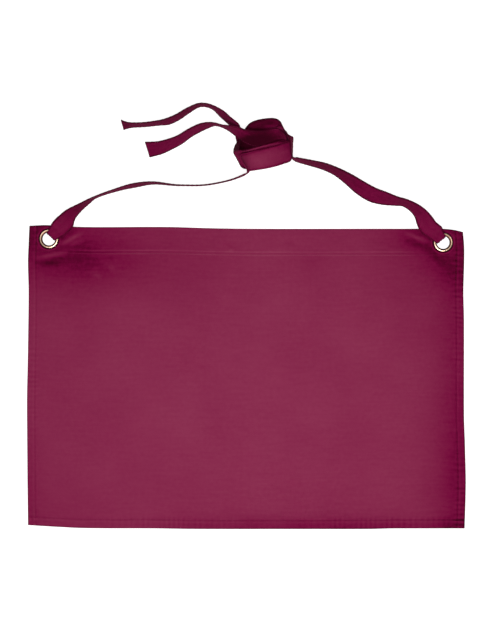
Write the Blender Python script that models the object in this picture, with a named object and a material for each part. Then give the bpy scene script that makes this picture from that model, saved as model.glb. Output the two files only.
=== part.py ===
"""A waist apron lying face up: a hemmed cloth panel, two eyelets, and two ties wound into a coil.

Metres, +Z up, +X along the waist edge, +Y towards it. The origin is under the middle of the panel.
Tables hold shares of the named sizes, so that each piece follows the size it is cut to.
"""

import math

import bmesh
import bpy
import numpy as np

# The panel: width at the waist, depth, one thickness of cloth, and the folded hems.
PANEL_WIDTH = 0.700
PANEL_DEPTH = 0.482
CLOTH = 0.0010
HEM_CLOTH = 0.0020
WAISTBAND = 0.040
SIDE_HEM = 0.0125
BOTTOM_HEM = 0.0135
FOLD_RISE = 0.0030
PANEL_COLUMNS = 28
PANEL_ROWS = 20

# The eyelets: hole, outer rim, sheet metal, and where their centres stand on the panel.
EYELET_HOLE = 0.0206
EYELET_RIM = 0.0310
EYELET_METAL = 0.0007
RIM_RISE = 0.0022
LIP_REACH = 0.0016
WASHER = 0.0008
EYELET_FROM_SIDE = 0.0340
EYELET_FROM_TOP = 0.0220
EYELET_SIDES = 32

# The ties: tape width and thickness, its gathered width in the hole, and the coil.
TIE_WIDTH = 0.0300
TIE = 0.0015
GATHERED = 0.0150
TIE_STEP = 0.0075
TIE_STRIPS = 3
COIL_WIDTH = 0.0960
COIL_FROM_MIDDLE = 0.0273
COIL_ABOVE_WAIST = 0.1313
COIL_SLACK = 0.0009
COIL_SLIP = 0.0035

# Stations of the coil, counted along COIL_TURN: where it starts to wind inwards, where the right tie
# joins the turn, and where each tie leaves it. The two runs are measured to the corners.
ENTRY_STATION = 3
JOIN_STATION = 5
LEFT_LAST_STATION = 4
RIGHT_LAST_STATION = 15
LEFT_COIL_CORNER = (-0.217, -0.408)
RIGHT_COIL_CORNER = (0.500, -0.183)

# The clearance between pieces that touch.
GAP = 0.0003

# Heights in the stack at an eyelet, from the floor up.
LIP_BOTTOM = TIE + GAP
WASHER_BOTTOM = LIP_BOTTOM + EYELET_METAL + GAP
EYELET_LIFT = WASHER_BOTTOM + WASHER + GAP
RIM_BOTTOM = EYELET_LIFT + HEM_CLOTH + GAP
RIM_TOP = RIM_BOTTOM + RIM_RISE

# Each edge of the panel bows out (+) or in (-): share along the edge, bow as a share of the depth.
TOP_BOW = [(0.00, 0.010), (0.04, 0.012), (0.12, 0.006), (0.32, 0.006), (0.42, 0.002), (0.52, 0.000),
           (0.75, 0.000), (0.89, 0.000), (0.95, 0.000), (0.98, -0.004), (1.00, -0.011)]
BOTTOM_BOW = [(0.00, -0.013), (0.06, -0.008), (0.13, -0.003), (0.30, -0.002), (0.40, 0.000),
              (0.62, 0.000), (0.78, 0.000), (0.84, -0.002), (1.00, -0.002)]
LEFT_BOW = [(0.00, 0.000), (0.18, 0.002), (0.42, 0.003), (0.60, 0.000), (0.78, -0.002), (0.88, 0.000),
            (0.95, -0.003), (1.00, -0.005)]
RIGHT_BOW = [(0.00, 0.002), (0.15, 0.006), (0.28, 0.003), (0.38, 0.000), (0.70, 0.000), (0.80, -0.002),
             (0.88, 0.000), (0.95, 0.000), (1.00, -0.004)]

# Low folds: centre as shares of width and depth, heading, half sizes as shares of the width, and rise.
FOLDS = [
    # x,     y,     degrees, half_long, half_wide, rise
    (-0.40, 0.405, 28.0, 0.050, 0.016, 0.55),
    (-0.44, 0.370, 10.0, 0.060, 0.018, 0.50),
    (0.395, 0.395, -38.0, 0.060, 0.018, 0.55),
    (-0.26, 0.250, 60.0, 0.130, 0.070, 0.45),
    (0.27, 0.230, -50.0, 0.140, 0.080, 0.50),
    (-0.34, -0.230, -20.0, 0.120, 0.060, 0.50),
    (0.33, -0.270, 35.0, 0.130, 0.070, 0.55),
    (-0.08, -0.360, 5.0, 0.160, 0.040, 0.35),
]

# A tie's leg from its hole to the waist edge: place outwards from the hole, height and width.
# The heights are counted in the stack at the eyelet, the places in half rims.
LEFT_LEG_HEADING = math.radians(46.0)
RIGHT_LEG_HEADING = math.radians(129.0)

# The run of each tie from the waist edge to the coil. way is the share of the straight line from
# the eyelet to the coil's near corner, bow is to the left of it, as a share of its length. lean is
# the tape's tilt in degrees: 0 is flat, 90 is on edge. lift is the low edge above the floor, in
# tape thicknesses.
LEFT_RUN = [
    # way,   bow,    lean, lift
    (0.076, 0.042, 2.0, 4.6),
    (0.113, 0.074, 44.0, 3.4),
    (0.151, 0.091, 57.0, 1.8),
    (0.208, 0.104, 69.0, 0.6),
    (0.273, 0.119, 86.0, 0.1),
    (0.364, 0.122, 84.0, 0.1),
    (0.466, 0.113, 76.0, 0.1),
    (0.549, 0.096, 81.0, 0.1),
    (0.667, 0.045, 89.0, 0.1),
    (0.788, 0.007, 89.0, 0.1),
    (0.888, -0.006, 89.0, 0.1),
    (0.962, -0.004, 88.0, 0.1),
]
RIGHT_RUN = [
    (0.109, -0.038, 178.0, 4.6),
    (0.180, -0.076, 150.0, 2.6),
    (0.218, -0.092, 129.0, 1.2),
    (0.271, -0.092, 117.0, 0.4),
    (0.356, -0.078, 121.0, 0.1),
    (0.424, -0.057, 130.0, 0.1),
    (0.496, -0.043, 142.0, 0.1),
    (0.575, -0.040, 138.0, 0.1),
    (0.662, -0.050, 125.0, 0.1),
    (0.742, -0.052, 114.0, 0.1),
    (0.818, -0.044, 110.0, 0.1),
    (0.888, -0.027, 109.0, 0.1),
    (0.951, -0.009, 106.0, 0.1),
]

# One turn of the coil, anticlockwise from its front left. Places are shares of COIL_WIDTH from the
# coil's centre, rise is the high edge above the low one, as a share of TIE_WIDTH.
COIL_TURN = [
    # low_x, low_y,  high_x, high_y, rise
    (-0.200, -0.392, -0.235, -0.080, 0.28),
    (0.083, -0.352, 0.020, -0.010, 0.27),
    (0.335, -0.290, 0.290, 0.068, 0.34),
    (0.485, -0.225, 0.462, 0.095, 0.75),
    (0.475, 0.030, 0.445, 0.205, 0.90),
    (0.380, 0.170, 0.352, 0.326, 0.80),
    (0.275, 0.195, 0.262, 0.450, 0.62),
    (0.050, 0.212, 0.060, 0.478, 0.53),
    (-0.200, 0.180, -0.215, 0.405, 0.62),
    (-0.410, 0.120, -0.370, 0.205, 0.38),
    (-0.497, -0.070, -0.425, -0.045, 0.86),
    (-0.433, -0.225, -0.395, -0.085, 0.88),
    (-0.325, -0.350, -0.335, -0.100, 0.60),
]
# The right tie comes in on edge round the coil's right end: place and lean.
RIGHT_ENTRY = [
    # x,     y,     lean
    (0.560, -0.212, 98.0),
    (0.512, -0.160, 92.0),
    (0.492, -0.060, 90.0),
    (0.490, 0.060, 90.0),
    (0.480, 0.172, 90.0),
]
# The left tie comes in on edge and lies back over the front: the same columns as COIL_TURN.
LEFT_ENTRY = [
    (-0.300, -0.443, -0.303, -0.428, 0.98),
    (-0.235, -0.420, -0.290, -0.255, 0.80),
]
# Inside the right end each tie turns back towards the left, the right tie nearer the middle.
LEFT_TURN = [
    # low_x, low_y, high_x, high_y, rise, lift in tape thicknesses
    (0.402, 0.100, 0.374, 0.256, 0.85, 0.1),
    (0.288, 0.115, 0.266, 0.332, 0.68, 0.2),
]
RIGHT_TURN = [
    (0.405, -0.130, 0.380, 0.128, 0.45, 0.4),
    (0.392, 0.034, 0.362, 0.207, 0.80, 0.2),
    (0.278, 0.076, 0.252, 0.280, 0.74, 0.2),
]
# Then both cross the hollow to the left rim, the right tie laid on the left one.
HOLLOW = [
    (0.070, 0.022, 0.050, 0.284, 0.52, 0.4),
    (-0.130, 0.005, -0.150, 0.277, 0.50, 2.5),
    (-0.290, 0.055, -0.320, 0.295, 0.60, 9.5),
]
# The free ends, from the rim to the tip: place, lean, and lift in tape thicknesses.
UPPER_END = [
    # x,     y,     lean,  lift
    (-0.440, 0.300, 114.0, 13.0),
    (-0.583, 0.433, 112.0, 8.5),
    (-0.683, 0.542, 113.0, 3.5),
    (-0.817, 0.650, 104.0, 0.3),
    (-0.950, 0.703, 101.0, 0.1),
    (-1.083, 0.700, 104.0, 0.1),
    (-1.250, 0.613, 109.0, 0.1),
    (-1.417, 0.508, 111.0, 0.1),
    (-1.583, 0.433, 112.0, 0.1),
    (-1.717, 0.407, 106.0, 0.1),
    (-1.950, 0.380, 104.0, 0.1),
    (-2.183, 0.367, 104.0, 0.1),
    (-2.283, 0.363, 110.0, 0.1),
    (-2.333, 0.375, 119.0, 0.1),
]
LOWER_END = [
    (-0.425, 0.235, 119.0, 14.0),
    (-0.567, 0.310, 108.0, 9.0),
    (-0.683, 0.355, 98.0, 4.0),
    (-0.800, 0.383, 98.0, 1.0),
    (-0.917, 0.370, 107.0, 0.1),
    (-1.050, 0.330, 114.0, 0.1),
    (-1.217, 0.242, 116.0, 0.1),
    (-1.383, 0.125, 120.0, 0.1),
    (-1.550, 0.050, 125.0, 0.1),
    (-1.717, -0.012, 133.0, 0.1),
    (-1.850, -0.037, 140.0, 0.1),
    (-1.933, -0.045, 146.5, 0.1),
]


def material(name, colour, roughness, metallic):
    """A Principled material with the piece's own colour, roughness and metal."""
    made = bpy.data.materials.new(name)
    made.use_nodes = True
    shader = made.node_tree.nodes["Principled BSDF"]
    shader.inputs["Base Color"].default_value = (*colour, 1.0)
    shader.inputs["Roughness"].default_value = roughness
    shader.inputs["Metallic"].default_value = metallic
    return made


def solid(name, points, faces, look, smooth_below):
    """One closed mesh object from points and faces, its faces turned outwards."""
    mesh = bpy.data.meshes.new(name)
    mesh.from_pydata(points.tolist(), [], faces.tolist())
    shape = bmesh.new()
    shape.from_mesh(mesh)
    bmesh.ops.recalc_face_normals(shape, faces=shape.faces[:])
    shape.to_mesh(mesh)
    shape.free()
    mesh.shade_smooth()
    mesh.set_sharp_from_angle(angle=math.radians(smooth_below))
    mesh.materials.append(look)
    made = bpy.data.objects.new(name, mesh)
    bpy.context.scene.collection.objects.link(made)
    return made


def closed_sheet(name, upper, under, look):
    """A sheet with thickness: two grids of the same rows and columns, joined round their edge.

    Both grids are split along the same diagonals, so a twisted stretch keeps its thickness."""
    rows, columns = upper.shape[:2]
    top = np.arange(rows * columns).reshape(rows, columns)
    edge = np.concatenate([top[0, :-1], top[:-1, -1], top[-1, :0:-1], top[:0:-1, 0]])
    after, below = np.roll(edge, -1), rows * columns
    faces = [np.stack([edge, after, after + below], axis=-1), np.stack([edge, after + below, edge + below], axis=-1)]
    for grid in (top, top + below):
        near, far = grid[:-1, :-1], grid[1:, 1:]
        for corner in (grid[:-1, 1:], grid[1:, :-1]):
            faces.append(np.stack([near, corner, far], axis=-1).reshape(-1, 3))
    points = np.concatenate([upper.reshape(-1, 3), under.reshape(-1, 3)])
    return solid(name, points, np.concatenate(faces), look, 50.0)


def flow(stops, values, where):
    """A smooth curve through the rows of values at the stops: cubic pieces, slopes from neighbours."""
    stops = np.asarray(stops, float)
    values = np.asarray(values, float).reshape(len(stops), -1)
    steps = np.diff(stops)[:, None]
    slopes = np.diff(values, axis=0) / steps
    tangents = np.concatenate([slopes[:1], slopes])
    tangents[1:-1] = (values[2:] - values[:-2]) / (steps[:-1] + steps[1:])
    span = np.clip(np.searchsorted(stops, where, side="right") - 1, 0, len(steps) - 1)
    share = ((where - stops[span]) / steps[span, 0])[:, None]
    before, after, width = values[span], values[span + 1], steps[span]
    return ((1 + 2 * share) * (1 - share) ** 2 * before + share * (1 - share) ** 2 * width * tangents[span]
            + share ** 2 * (3 - 2 * share) * after + share ** 2 * (share - 1) * width * tangents[span + 1])


def unit(vectors):
    """Each vector divided by its length."""
    return vectors / np.linalg.norm(vectors, axis=-1, keepdims=True)


def eyelet_place(side):
    """The centre of the left (-1) or right (+1) eyelet, below the bowed top edge."""
    across = 0.5 + side * (0.5 - EYELET_FROM_SIDE / PANEL_WIDTH)
    x, y = panel_outline(np.array([across]), np.array([1.0]))
    return np.array([side * (PANEL_WIDTH / 2 - EYELET_FROM_SIDE), y[0] - EYELET_FROM_TOP])


def heading(angle):
    """The unit direction at an angle from +X."""
    return np.array([math.cos(angle), math.sin(angle)])


def panel_outline(across, up):
    """The plan of the panel: a rectangle whose four edges bow by their tables, blended between."""
    bows = [flow([row[0] for row in table], [row[1] for row in table], share.ravel()).reshape(share.shape)
            for table, share in ((TOP_BOW, across), (BOTTOM_BOW, across), (LEFT_BOW, up), (RIGHT_BOW, up))]
    top, bottom, left, right = (PANEL_DEPTH * bow for bow in bows)
    x = PANEL_WIDTH * (across - 0.5) + right * across - left * (1 - across)
    y = PANEL_DEPTH * (up - 0.5) + top * up - bottom * (1 - up)
    return x, y


def panel_underside(x, y):
    """Height of the cloth's underside: low folds, and a flat rise round each eyelet and its tie."""
    height = np.zeros_like(x)
    for centre_x, centre_y, degrees, half_long, half_wide, rise in FOLDS:
        turn = heading(math.radians(degrees))
        dx, dy = x - centre_x * PANEL_WIDTH, y - centre_y * PANEL_DEPTH
        along = (dx * turn[0] + dy * turn[1]) / (half_long * PANEL_WIDTH)
        aside = (dy * turn[0] - dx * turn[1]) / (half_wide * PANEL_WIDTH)
        reach = np.minimum(1.0, np.hypot(along, aside))
        height += rise * FOLD_RISE * (0.5 + 0.5 * np.cos(math.pi * reach))
    flat_reach = EYELET_RIM / 2 + 2 * CLOTH
    spread = 4 * EYELET_RIM / 3
    for side, angle in ((-1, LEFT_LEG_HEADING), (1, RIGHT_LEG_HEADING)):
        centre, turn = eyelet_place(side), heading(angle)
        leg = EYELET_FROM_TOP / math.sin(angle)
        dx, dy = x - centre[0], y - centre[1]
        along = np.clip(dx * turn[0] + dy * turn[1], 0.0, leg)
        away = np.hypot(dx - along * turn[0], dy - along * turn[1])
        share = np.clip((away - flat_reach) / spread, 0.0, 1.0)
        rise = 1 - share ** 2 * (3 - 2 * share)
        height = height * (1 - rise) + EYELET_LIFT * rise
    return height


def hem_lines(length, first, last, count, added):
    """Grid lines over a length: both sides of each hem's step, lines that crowd to the hems, and more."""
    step = 2 * CLOTH
    share = np.linspace(0, 1, count)
    share = 0.55 * share + 0.45 * (0.5 - 0.5 * np.cos(math.pi * share))
    inner = first + step + share * (length - first - last - 2 * step)
    return np.sort(np.concatenate([[0.0, first - step], inner, [length - last + step, length], added]))


def make_panel(look):
    """The panel, thicker in its hems and waistband, cut through at both eyelets."""
    eyelet_row = PANEL_DEPTH - EYELET_FROM_TOP
    columns = hem_lines(PANEL_WIDTH, SIDE_HEM, SIDE_HEM, PANEL_COLUMNS, [])
    rows = hem_lines(PANEL_DEPTH, BOTTOM_HEM, WAISTBAND, PANEL_ROWS,
                     [eyelet_row, eyelet_row + EYELET_RIM / 2 + CLOTH])
    across, up = np.meshgrid(columns / PANEL_WIDTH, rows / PANEL_DEPTH)
    x, y = panel_outline(across, up)
    under = panel_underside(x, y)
    inside = ((across * PANEL_WIDTH > SIDE_HEM) & ((1 - across) * PANEL_WIDTH > SIDE_HEM)
              & (up * PANEL_DEPTH > BOTTOM_HEM) & ((1 - up) * PANEL_DEPTH > WAISTBAND))
    thick = np.where(inside, CLOTH, HEM_CLOTH)
    panel = closed_sheet("apron_panel", np.stack([x, y, under + thick], axis=-1),
                         np.stack([x, y, under], axis=-1), look)
    for side in (-1, 1):
        centre = eyelet_place(side)
        bpy.ops.mesh.primitive_cylinder_add(
            vertices=EYELET_SIDES, radius=EYELET_HOLE / 2 + EYELET_METAL + GAP, depth=10 * EYELET_LIFT,
            location=(centre[0], centre[1], EYELET_LIFT))
        cutter = bpy.context.object
        cutter.name = "hole_cutter"
        cutter.hide_render = True
        cutter.display_type = "WIRE"
        cut = panel.modifiers.new("eyelet_hole", "BOOLEAN")
        cut.operation = "DIFFERENCE"
        cut.solver = "EXACT"
        cut.object = cutter
    return panel


def turned(name, profile, centre, look):
    """A ring turned about a vertical axis from a closed profile of (radius, height) points."""
    profile = np.array(profile)
    angles = np.linspace(0, 2 * math.pi, EYELET_SIDES, endpoint=False)
    radius, height = profile[None, :, 0], profile[None, :, 1]
    points = np.stack([centre[0] + radius * np.cos(angles)[:, None],
                       centre[1] + radius * np.sin(angles)[:, None],
                       height + 0 * angles[:, None]], axis=-1)
    index = np.arange(points.shape[0] * points.shape[1]).reshape(points.shape[:2])
    right, up = np.roll(index, -1, axis=0), np.roll(index, -1, axis=1)
    corner = np.roll(right, -1, axis=1)
    faces = np.stack([index, right, corner, up], axis=-1).reshape(-1, 4)
    return solid(name, points.reshape(-1, 3), faces, look, 40.0)


def make_eyelet(word, side, look):
    """An eyelet: a rolled rim over the cloth, a barrel, and a lip curled out under the washer."""
    centre = eyelet_place(side)
    hole, rim = EYELET_HOLE / 2, EYELET_RIM / 2
    barrel = hole + EYELET_METAL
    crown = np.linspace(0, math.pi, 7)
    rim_middle, rim_half = (hole + rim) / 2, (rim - hole) / 2
    roll = [(rim_middle - rim_half * math.cos(a), RIM_BOTTOM + RIM_RISE * (0.35 + 0.65 * math.sin(a)))
            for a in crown]
    profile = ([(hole, LIP_BOTTOM)] + roll
               + [(rim - EYELET_METAL / 2, RIM_BOTTOM), (barrel, RIM_BOTTOM),
                  (barrel, LIP_BOTTOM + EYELET_METAL), (barrel + LIP_REACH, LIP_BOTTOM + EYELET_METAL),
                  (barrel + LIP_REACH, LIP_BOTTOM)])
    turned("eyelet_" + word, profile, centre, look)
    inner = barrel + GAP
    top = WASHER_BOTTOM + WASHER
    turned("washer_" + word, [(inner, WASHER_BOTTOM), (inner, top), (rim, top), (rim, WASHER_BOTTOM)],
           centre, look)


def lean_edges(places, leans, lifts):
    """Low and high edge of the tape along plan places, tilted by the lean to the left of its way."""
    ways = unit(np.gradient(places, axis=0))
    left = np.stack([-ways[:, 1], ways[:, 0]], axis=-1)
    tilt = np.radians(leans)[:, None]
    half = TIE_WIDTH / 2
    plan = left * np.cos(tilt) * half
    bottom = TIE / 2 * np.abs(np.cos(tilt)) + lifts[:, None] * TIE
    low_first = np.concatenate([places - plan, bottom], axis=-1)
    high = np.concatenate([places + plan, bottom + TIE_WIDTH * np.sin(tilt)], axis=-1)
    return low_first, high


def leg_edges(centre, angle, inner_place, high_side):
    """The tape from its sewn inner end, under the panel, up through the hole and over the rim."""
    way = heading(angle)
    left = high_side * np.array([-way[1], way[0], 0.0])
    hole = EYELET_HOLE / 2
    on_panel = EYELET_LIFT + HEM_CLOTH + GAP + TIE / 2
    over_rim = RIM_TOP + GAP + TIE / 2
    under = TIE / 2
    stations = [
        (1.95 * hole, under, 0.95 * TIE_WIDTH),
        (1.35 * hole, under, 0.62 * TIE_WIDTH),
        (0.86 * hole, under, 0.76 * GATHERED),
        (0.50 * hole, LIP_BOTTOM - 0.2 * TIE, 0.76 * GATHERED),
        (0.44 * hole, RIM_BOTTOM - TIE, 0.90 * GATHERED),
        (0.46 * hole, RIM_TOP + 0.3 * TIE, 0.58 * TIE_WIDTH),
        (0.72 * hole, over_rim + 0.9 * TIE, 0.65 * TIE_WIDTH),
        (1.15 * hole, over_rim + 0.3 * TIE, 0.72 * TIE_WIDTH),
        (1.55 * hole, over_rim, 0.82 * TIE_WIDTH),
        (2.05 * hole, on_panel + 0.45 * TIE, 0.95 * TIE_WIDTH),
    ]
    middles = [np.array([*inner_place, under])]
    middles += [np.array([*(centre + way * out), height]) for out, height, width in stations]
    widths = np.array([TIE_WIDTH * 0.95] + [width for out, height, width in stations])[:, None]
    middles = np.array(middles)
    return middles - left * widths / 2, middles + left * widths / 2


def run_places(start, end, table):
    """Plan places of a run: share of the way from start to end, and bow to the left of it."""
    table = np.array(table)
    straight = end - start
    left = np.array([-straight[1], straight[0]])
    return start + table[:, :1] * straight + table[:, 1:2] * left


def coil_centre():
    """The middle of the coil."""
    return np.array([COIL_FROM_MIDDLE, PANEL_DEPTH / 2 + COIL_ABOVE_WAIST])


def table_edges(rows):
    """Low and high edges from rows of plan shares and rise, the low edge at the floor."""
    rows = np.array(rows)
    low = np.concatenate([coil_centre() + COIL_WIDTH * rows[:, 0:2], np.zeros((len(rows), 1))], axis=-1)
    high = np.concatenate([coil_centre() + COIL_WIDTH * rows[:, 2:4], TIE_WIDTH * rows[:, 4:5]], axis=-1)
    return low, high


def outward(low, high, ends_meet):
    """Unit normals of the wall between its edges, out of the coil."""
    middle = (low + high) / 2
    if ends_meet:
        along = np.roll(middle, -1, axis=0) - np.roll(middle, 1, axis=0)
    else:
        along = np.gradient(middle, axis=0)
    return unit(np.cross(along, high - low))


def coil_edges(first, last, layer):
    """Both edges from station first to last of the coil, each turn wound inside the one before."""
    low, high = table_edges(COIL_TURN)
    normals = outward(low, high, True)
    count = len(COIL_TURN)
    pitch = TIE + COIL_SLACK
    station = np.arange(first, last + 1)
    depth = pitch * (layer + 2 * (station - ENTRY_STATION) / count)
    deepest = pitch * 2 * (RIGHT_LAST_STATION - ENTRY_STATION) / count
    row = station % count
    facing_up = np.maximum(0.0, normals[row, 2])
    shift = -normals[row] * depth[:, None]
    shift[:, 2] += facing_up * deepest + TIE / 2 + GAP
    slip = COIL_SLIP * facing_up * (depth / pitch - 1)
    shift += unit(high - low)[row] * slip[:, None]
    return low[row] + shift, high[row] + shift


def hollow_edges(rows, layer):
    """Both edges inside the hollow, a tie of the second layer laid on the first."""
    low, high = table_edges(rows)
    lifts = np.array(rows)[:, 5] * TIE + TIE / 2
    low[:, 2] += lifts
    high[:, 2] += lifts
    shift = -outward(low, high, False) * layer * (TIE + COIL_SLACK)
    return low + shift, high + shift


def end_edges(rows):
    """Both edges of a free end."""
    rows = np.array(rows)
    return lean_edges(coil_centre() + COIL_WIDTH * rows[:, 0:2], rows[:, 2], rows[:, 3])


def band(name, pieces, look):
    """One tape from its edge stations: smooth edges, ruled across, given its thickness."""
    low = np.concatenate([piece[0] for piece in pieces])
    high = np.concatenate([piece[1] for piece in pieces])
    chords = np.linalg.norm(np.diff((low + high) / 2, axis=0), axis=-1)
    stops = np.concatenate([[0.0], np.cumsum(np.sqrt(chords))])
    counts = np.ceil(chords / TIE_STEP).astype(int)
    where = np.concatenate([np.linspace(stops[i], stops[i + 1], counts[i], endpoint=False)
                            for i in range(len(chords))] + [stops[-1:]])
    low_line, high_line = flow(stops, low, where), flow(stops, high, where)
    share = np.linspace(0, 1, TIE_STRIPS + 1)[None, :, None]
    middle = low_line[:, None] * (1 - share) + high_line[:, None] * share
    across = (high_line - low_line)[:, None] + 0 * middle
    normal = unit(np.cross(np.gradient(middle, axis=0), across))
    closed_sheet(name, middle + normal * TIE / 2, middle - normal * TIE / 2, look)


def make_left_tie(look):
    """The left tie: hole, run, the front and right end of the coil, and the upper free end."""
    start = eyelet_place(-1)
    end = coil_centre() + COIL_WIDTH * np.array(LEFT_COIL_CORNER)
    places = run_places(start, end, LEFT_RUN)
    run = np.array(LEFT_RUN)
    inner = places[0] * 0.8 + places[1] * 0.2
    low, high = table_edges(LEFT_ENTRY)
    entry_lift = np.array([0.1, 1.2])[:, None] * TIE * np.array([0, 0, 1])
    band("tie_left", [
        leg_edges(start, LEFT_LEG_HEADING, inner, 1),
        lean_edges(places, run[:, 2], run[:, 3]),
        (low + entry_lift, high + entry_lift),
        coil_edges(0, LEFT_LAST_STATION, 1.0),
        hollow_edges(LEFT_TURN + HOLLOW, 0.0),
        end_edges(UPPER_END),
    ], look)


def make_right_tie(look):
    """The right tie: hole, run, round the coil's right end, one turn, and the lower free end."""
    start = eyelet_place(1)
    end = coil_centre() + COIL_WIDTH * np.array(RIGHT_COIL_CORNER)
    places = run_places(start, end, RIGHT_RUN)
    run, entry = np.array(RIGHT_RUN), np.array(RIGHT_ENTRY)
    inner = places[0] * 0.8 + places[1] * 0.2
    entry_places = coil_centre() + COIL_WIDTH * entry[:, :2]
    all_places = np.concatenate([places, entry_places])
    leans = np.concatenate([run[:, 2], entry[:, 2]])
    lifts = np.concatenate([run[:, 3], 0 * entry[:, 2] + 0.1])
    band("tie_right", [
        leg_edges(start, RIGHT_LEG_HEADING, inner, -1),
        lean_edges(all_places, leans, lifts),
        coil_edges(JOIN_STATION, RIGHT_LAST_STATION, 0.0),
        hollow_edges(RIGHT_TURN, 0.0),
        hollow_edges(HOLLOW, 1.0),
        end_edges(LOWER_END),
    ], look)


for old in list(bpy.data.objects):
    bpy.data.objects.remove(old)

twill = material("burgundy_twill", (0.20, 0.022, 0.065), 0.85, 0.0)
brass = material("brass", (0.78, 0.60, 0.36), 0.28, 1.0)
make_panel(twill)
for word, side in (("left", -1), ("right", 1)):
    make_eyelet(word, side, brass)
make_left_tie(twill)
make_right_tie(twill)
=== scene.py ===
"""A burgundy twill waist apron laid face up, its two ties wound into a loose coil above the waist."""
import math

import bpy
import numpy as np
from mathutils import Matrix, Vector


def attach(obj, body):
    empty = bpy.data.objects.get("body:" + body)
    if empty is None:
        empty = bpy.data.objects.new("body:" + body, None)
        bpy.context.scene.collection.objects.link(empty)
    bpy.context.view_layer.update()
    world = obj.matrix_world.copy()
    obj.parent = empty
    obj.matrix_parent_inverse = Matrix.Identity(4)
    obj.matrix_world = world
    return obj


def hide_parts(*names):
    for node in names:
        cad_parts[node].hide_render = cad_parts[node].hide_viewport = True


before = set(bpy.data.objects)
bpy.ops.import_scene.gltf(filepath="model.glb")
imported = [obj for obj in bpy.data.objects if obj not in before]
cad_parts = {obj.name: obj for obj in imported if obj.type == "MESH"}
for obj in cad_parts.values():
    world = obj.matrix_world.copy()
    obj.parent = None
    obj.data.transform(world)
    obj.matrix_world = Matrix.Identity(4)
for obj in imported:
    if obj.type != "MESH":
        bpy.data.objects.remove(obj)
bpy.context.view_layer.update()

# The studio: a pale board, softly lit from inside, that the apron lies on, soft boxes above it in a
# room that is darker towards its walls, and a camera straight above.
# The picture is 500 by 625 pixels, and one pixel is 1.6055 mm on the board.
PIXEL = 0.0016055
PICTURE_HEIGHT = 625
CAMERA_X, CAMERA_Y, CAMERA_HEIGHT = 0.0064, 0.1066, 5.0
CAMERA_SENSOR = 24.0
BOARD_HALF, BOARD_TOP = 4.0, -0.0002

board_mesh = bpy.data.meshes.new("board")
board_corners = [(x * BOARD_HALF, y * BOARD_HALF, BOARD_TOP) for x, y in ((-1, -1), (1, -1), (1, 1), (-1, 1))]
board_mesh.from_pydata(board_corners, [], [(0, 1, 2, 3)])
board = bpy.data.objects.new("board", board_mesh)
bpy.context.scene.collection.objects.link(board)
board_look = bpy.data.materials.new("pale_board")
board_look.use_nodes = True
board_shader = board_look.node_tree.nodes["Principled BSDF"]
board_shader.inputs["Base Color"].default_value = (0.34, 0.34, 0.34, 1.0)
board_shader.inputs["Roughness"].default_value = 0.9
board_shader.inputs["Specular IOR Level"].default_value = 0.1
board_shader.inputs["Emission Color"].default_value = (1.0, 1.0, 1.0, 1.0)
board_shader.inputs["Emission Strength"].default_value = 0.88
board_mesh.materials.append(board_look)

camera = bpy.data.objects.new("camera", bpy.data.cameras.new("camera"))
camera.location = (CAMERA_X, CAMERA_Y, CAMERA_HEIGHT)
camera.data.sensor_fit = "VERTICAL"
camera.data.sensor_height = CAMERA_SENSOR
camera.data.lens = CAMERA_SENSOR * CAMERA_HEIGHT / (PICTURE_HEIGHT * PIXEL)
camera.data.clip_end = 50.0
bpy.context.scene.collection.objects.link(camera)
bpy.context.scene.camera = camera
bpy.context.scene.view_settings.view_transform = "Standard"


def soft_box(name, place, aim, side, power):
    """A square soft box at a place, turned towards the point it is aimed at."""
    lamp = bpy.data.lights.new(name, "AREA")
    lamp.shape = "SQUARE"
    lamp.size = side
    lamp.energy = power
    made = bpy.data.objects.new(name, lamp)
    made.location = place
    made.rotation_euler = (Vector(aim) - Vector(place)).to_track_quat("-Z", "Y").to_euler()
    bpy.context.scene.collection.objects.link(made)


def colour_ramp(nodes, stops):
    """A ramp through stops of a position and a colour."""
    ramp = nodes.new("ShaderNodeValToRGB")
    elements = ramp.color_ramp.elements
    for element, (position, colour) in ((elements[0], stops[0]), (elements[1], stops[-1])):
        element.position = position
        element.color = (*colour, 1.0)
    for position, colour in stops[1:-1]:
        elements.new(position).color = (*colour, 1.0)
    return ramp


soft_box("key_box", (0.05, -0.30, 1.35), (0.0, 0.02, 0.0), 0.7, 15.0)
soft_box("fill_box", (-1.2, 1.1, 1.6), (0.0, 0.15, 0.0), 1.2, 9.0)
soft_box("side_box", (1.5, 0.5, 1.2), (0.0, 0.15, 0.0), 1.0, 5.0)
world = bpy.data.worlds.new("room")
world.use_nodes = True
room = world.node_tree
towards = room.nodes.new("ShaderNodeTexCoord")
parts = room.nodes.new("ShaderNodeSeparateXYZ")
room.links.new(towards.outputs["Generated"], parts.inputs["Vector"])
height_tone = colour_ramp(room.nodes, [(0.45, (0.10, 0.09, 0.085)), (0.86, (0.90, 0.89, 0.88))])
room.links.new(parts.outputs["Z"], height_tone.inputs["Fac"])
room.links.new(height_tone.outputs["Color"], room.nodes["Background"].inputs["Color"])
room.nodes["Background"].inputs["Strength"].default_value = 0.85
bpy.context.scene.world = world

# The panel: one piece of burgundy cotton twill, hemmed down both sides and along the bottom, with a
# 40 mm waistband folded down from the top edge and sewn along its lower edge.
PANEL_WIDTH, PANEL_DEPTH = 0.700, 0.482
CLOTH, HEM_CLOTH = 0.0010, 0.0020
WAISTBAND, SIDE_HEM, BOTTOM_HEM = 0.040, 0.0125, 0.0135
SEWN_FROM_FOLD, CLOTH_STEP, EDGE_ROLL = 0.0010, 0.0004, 0.0011
FOLD_RISE, SLOW_RISE = 0.0030, 0.0014
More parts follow.
